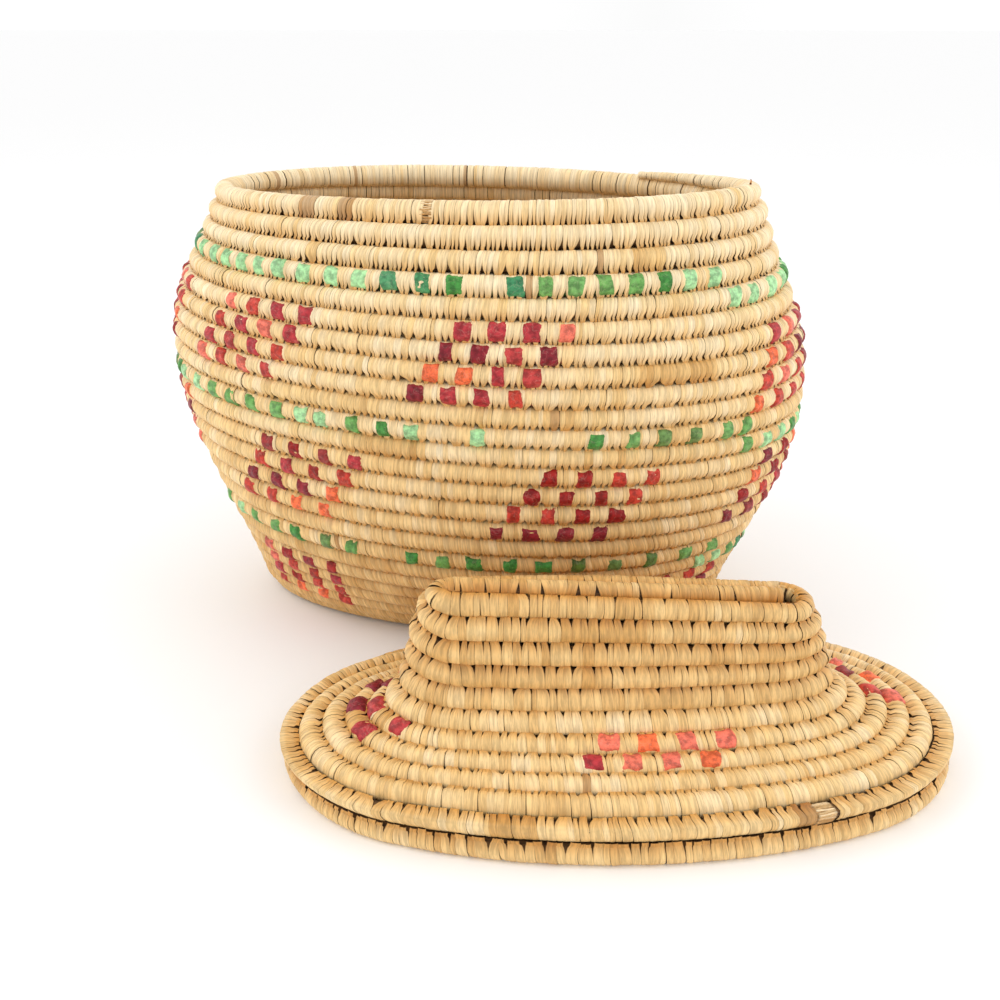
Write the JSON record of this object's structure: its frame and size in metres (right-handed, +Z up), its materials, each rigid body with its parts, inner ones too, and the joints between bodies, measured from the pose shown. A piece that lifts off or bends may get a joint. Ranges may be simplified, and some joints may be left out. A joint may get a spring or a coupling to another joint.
{
  "type": "coiled basket with lid",
  "caption": "Oval coiled grass basket with a full belly, a narrow foot and an open mouth, its long-knobbed oval lid stood beside it; checks of dyed gut run round both.",
  "frame": {"origin": "middle of the basket's base, on the surface that it stands on", "axes": "+X along the basket's long axis, to the right seen from the front; +Y to the back, away from the lid; +Z up"},
  "size_m": [0.377, 0.3062, 0.2211],
  "materials": {
    "grass": "dry coiled grass",
    "rim_grass": "dry coiled grass, wider strands",
    "lid_grass": "dry coiled grass",
    "red_gut": "dyed gut, crinkled",
    "green_gut": "dyed gut, crinkled"
  },
  "bodies": {
    "basket": {"base_coil": "grass", "belly_coil": "grass", "foot_coil": "grass", "green_strip_lower": "green_gut", "green_strip_middle": "green_gut", "green_strip_upper": "green_gut", "lower_wall_coil": "grass", "middle_wall_coil": "grass", "neck_coil": "grass", "red_motif_lower_1": "red_gut", "red_motif_lower_2": "red_gut", "red_motif_lower_3": "red_gut", "red_motif_lower_4": "red_gut", "red_motif_middle_1": "red_gut", "red_motif_middle_2": "red_gut", "red_motif_middle_3": "red_gut", "red_motif_middle_4": "red_gut", "red_motif_middle_5": "red_gut", "red_motif_middle_6": "red_gut", "red_motif_middle_7": "red_gut", "red_motif_upper_1": "red_gut", "red_motif_upper_2": "red_gut", "red_motif_upper_3": "red_gut", "red_motif_upper_4": "red_gut", "red_motif_upper_5": "red_gut", "red_motif_upper_6": "red_gut", "red_motif_upper_7": "red_gut", "red_motif_upper_8": "red_gut", "rim_coil": "rim_grass", "shoulder_coil": "grass"},
    "lid": {"lid_crown_coil": "lid_grass", "lid_edge_coil": "lid_grass", "lid_flange_coil": "lid_grass", "lid_lip_coil": "lid_grass", "lid_red_motif_1": "red_gut", "lid_red_motif_2": "red_gut", "lid_red_motif_3": "red_gut", "lid_red_motif_4": "red_gut"}
  },
  "joints": [
    {"name": "lid_lift", "type": "slide", "parent": "basket", "child": "lid", "axis": [0, -0.7071, 0.7071], "range_m": [0, 0.25]}
  ]
}
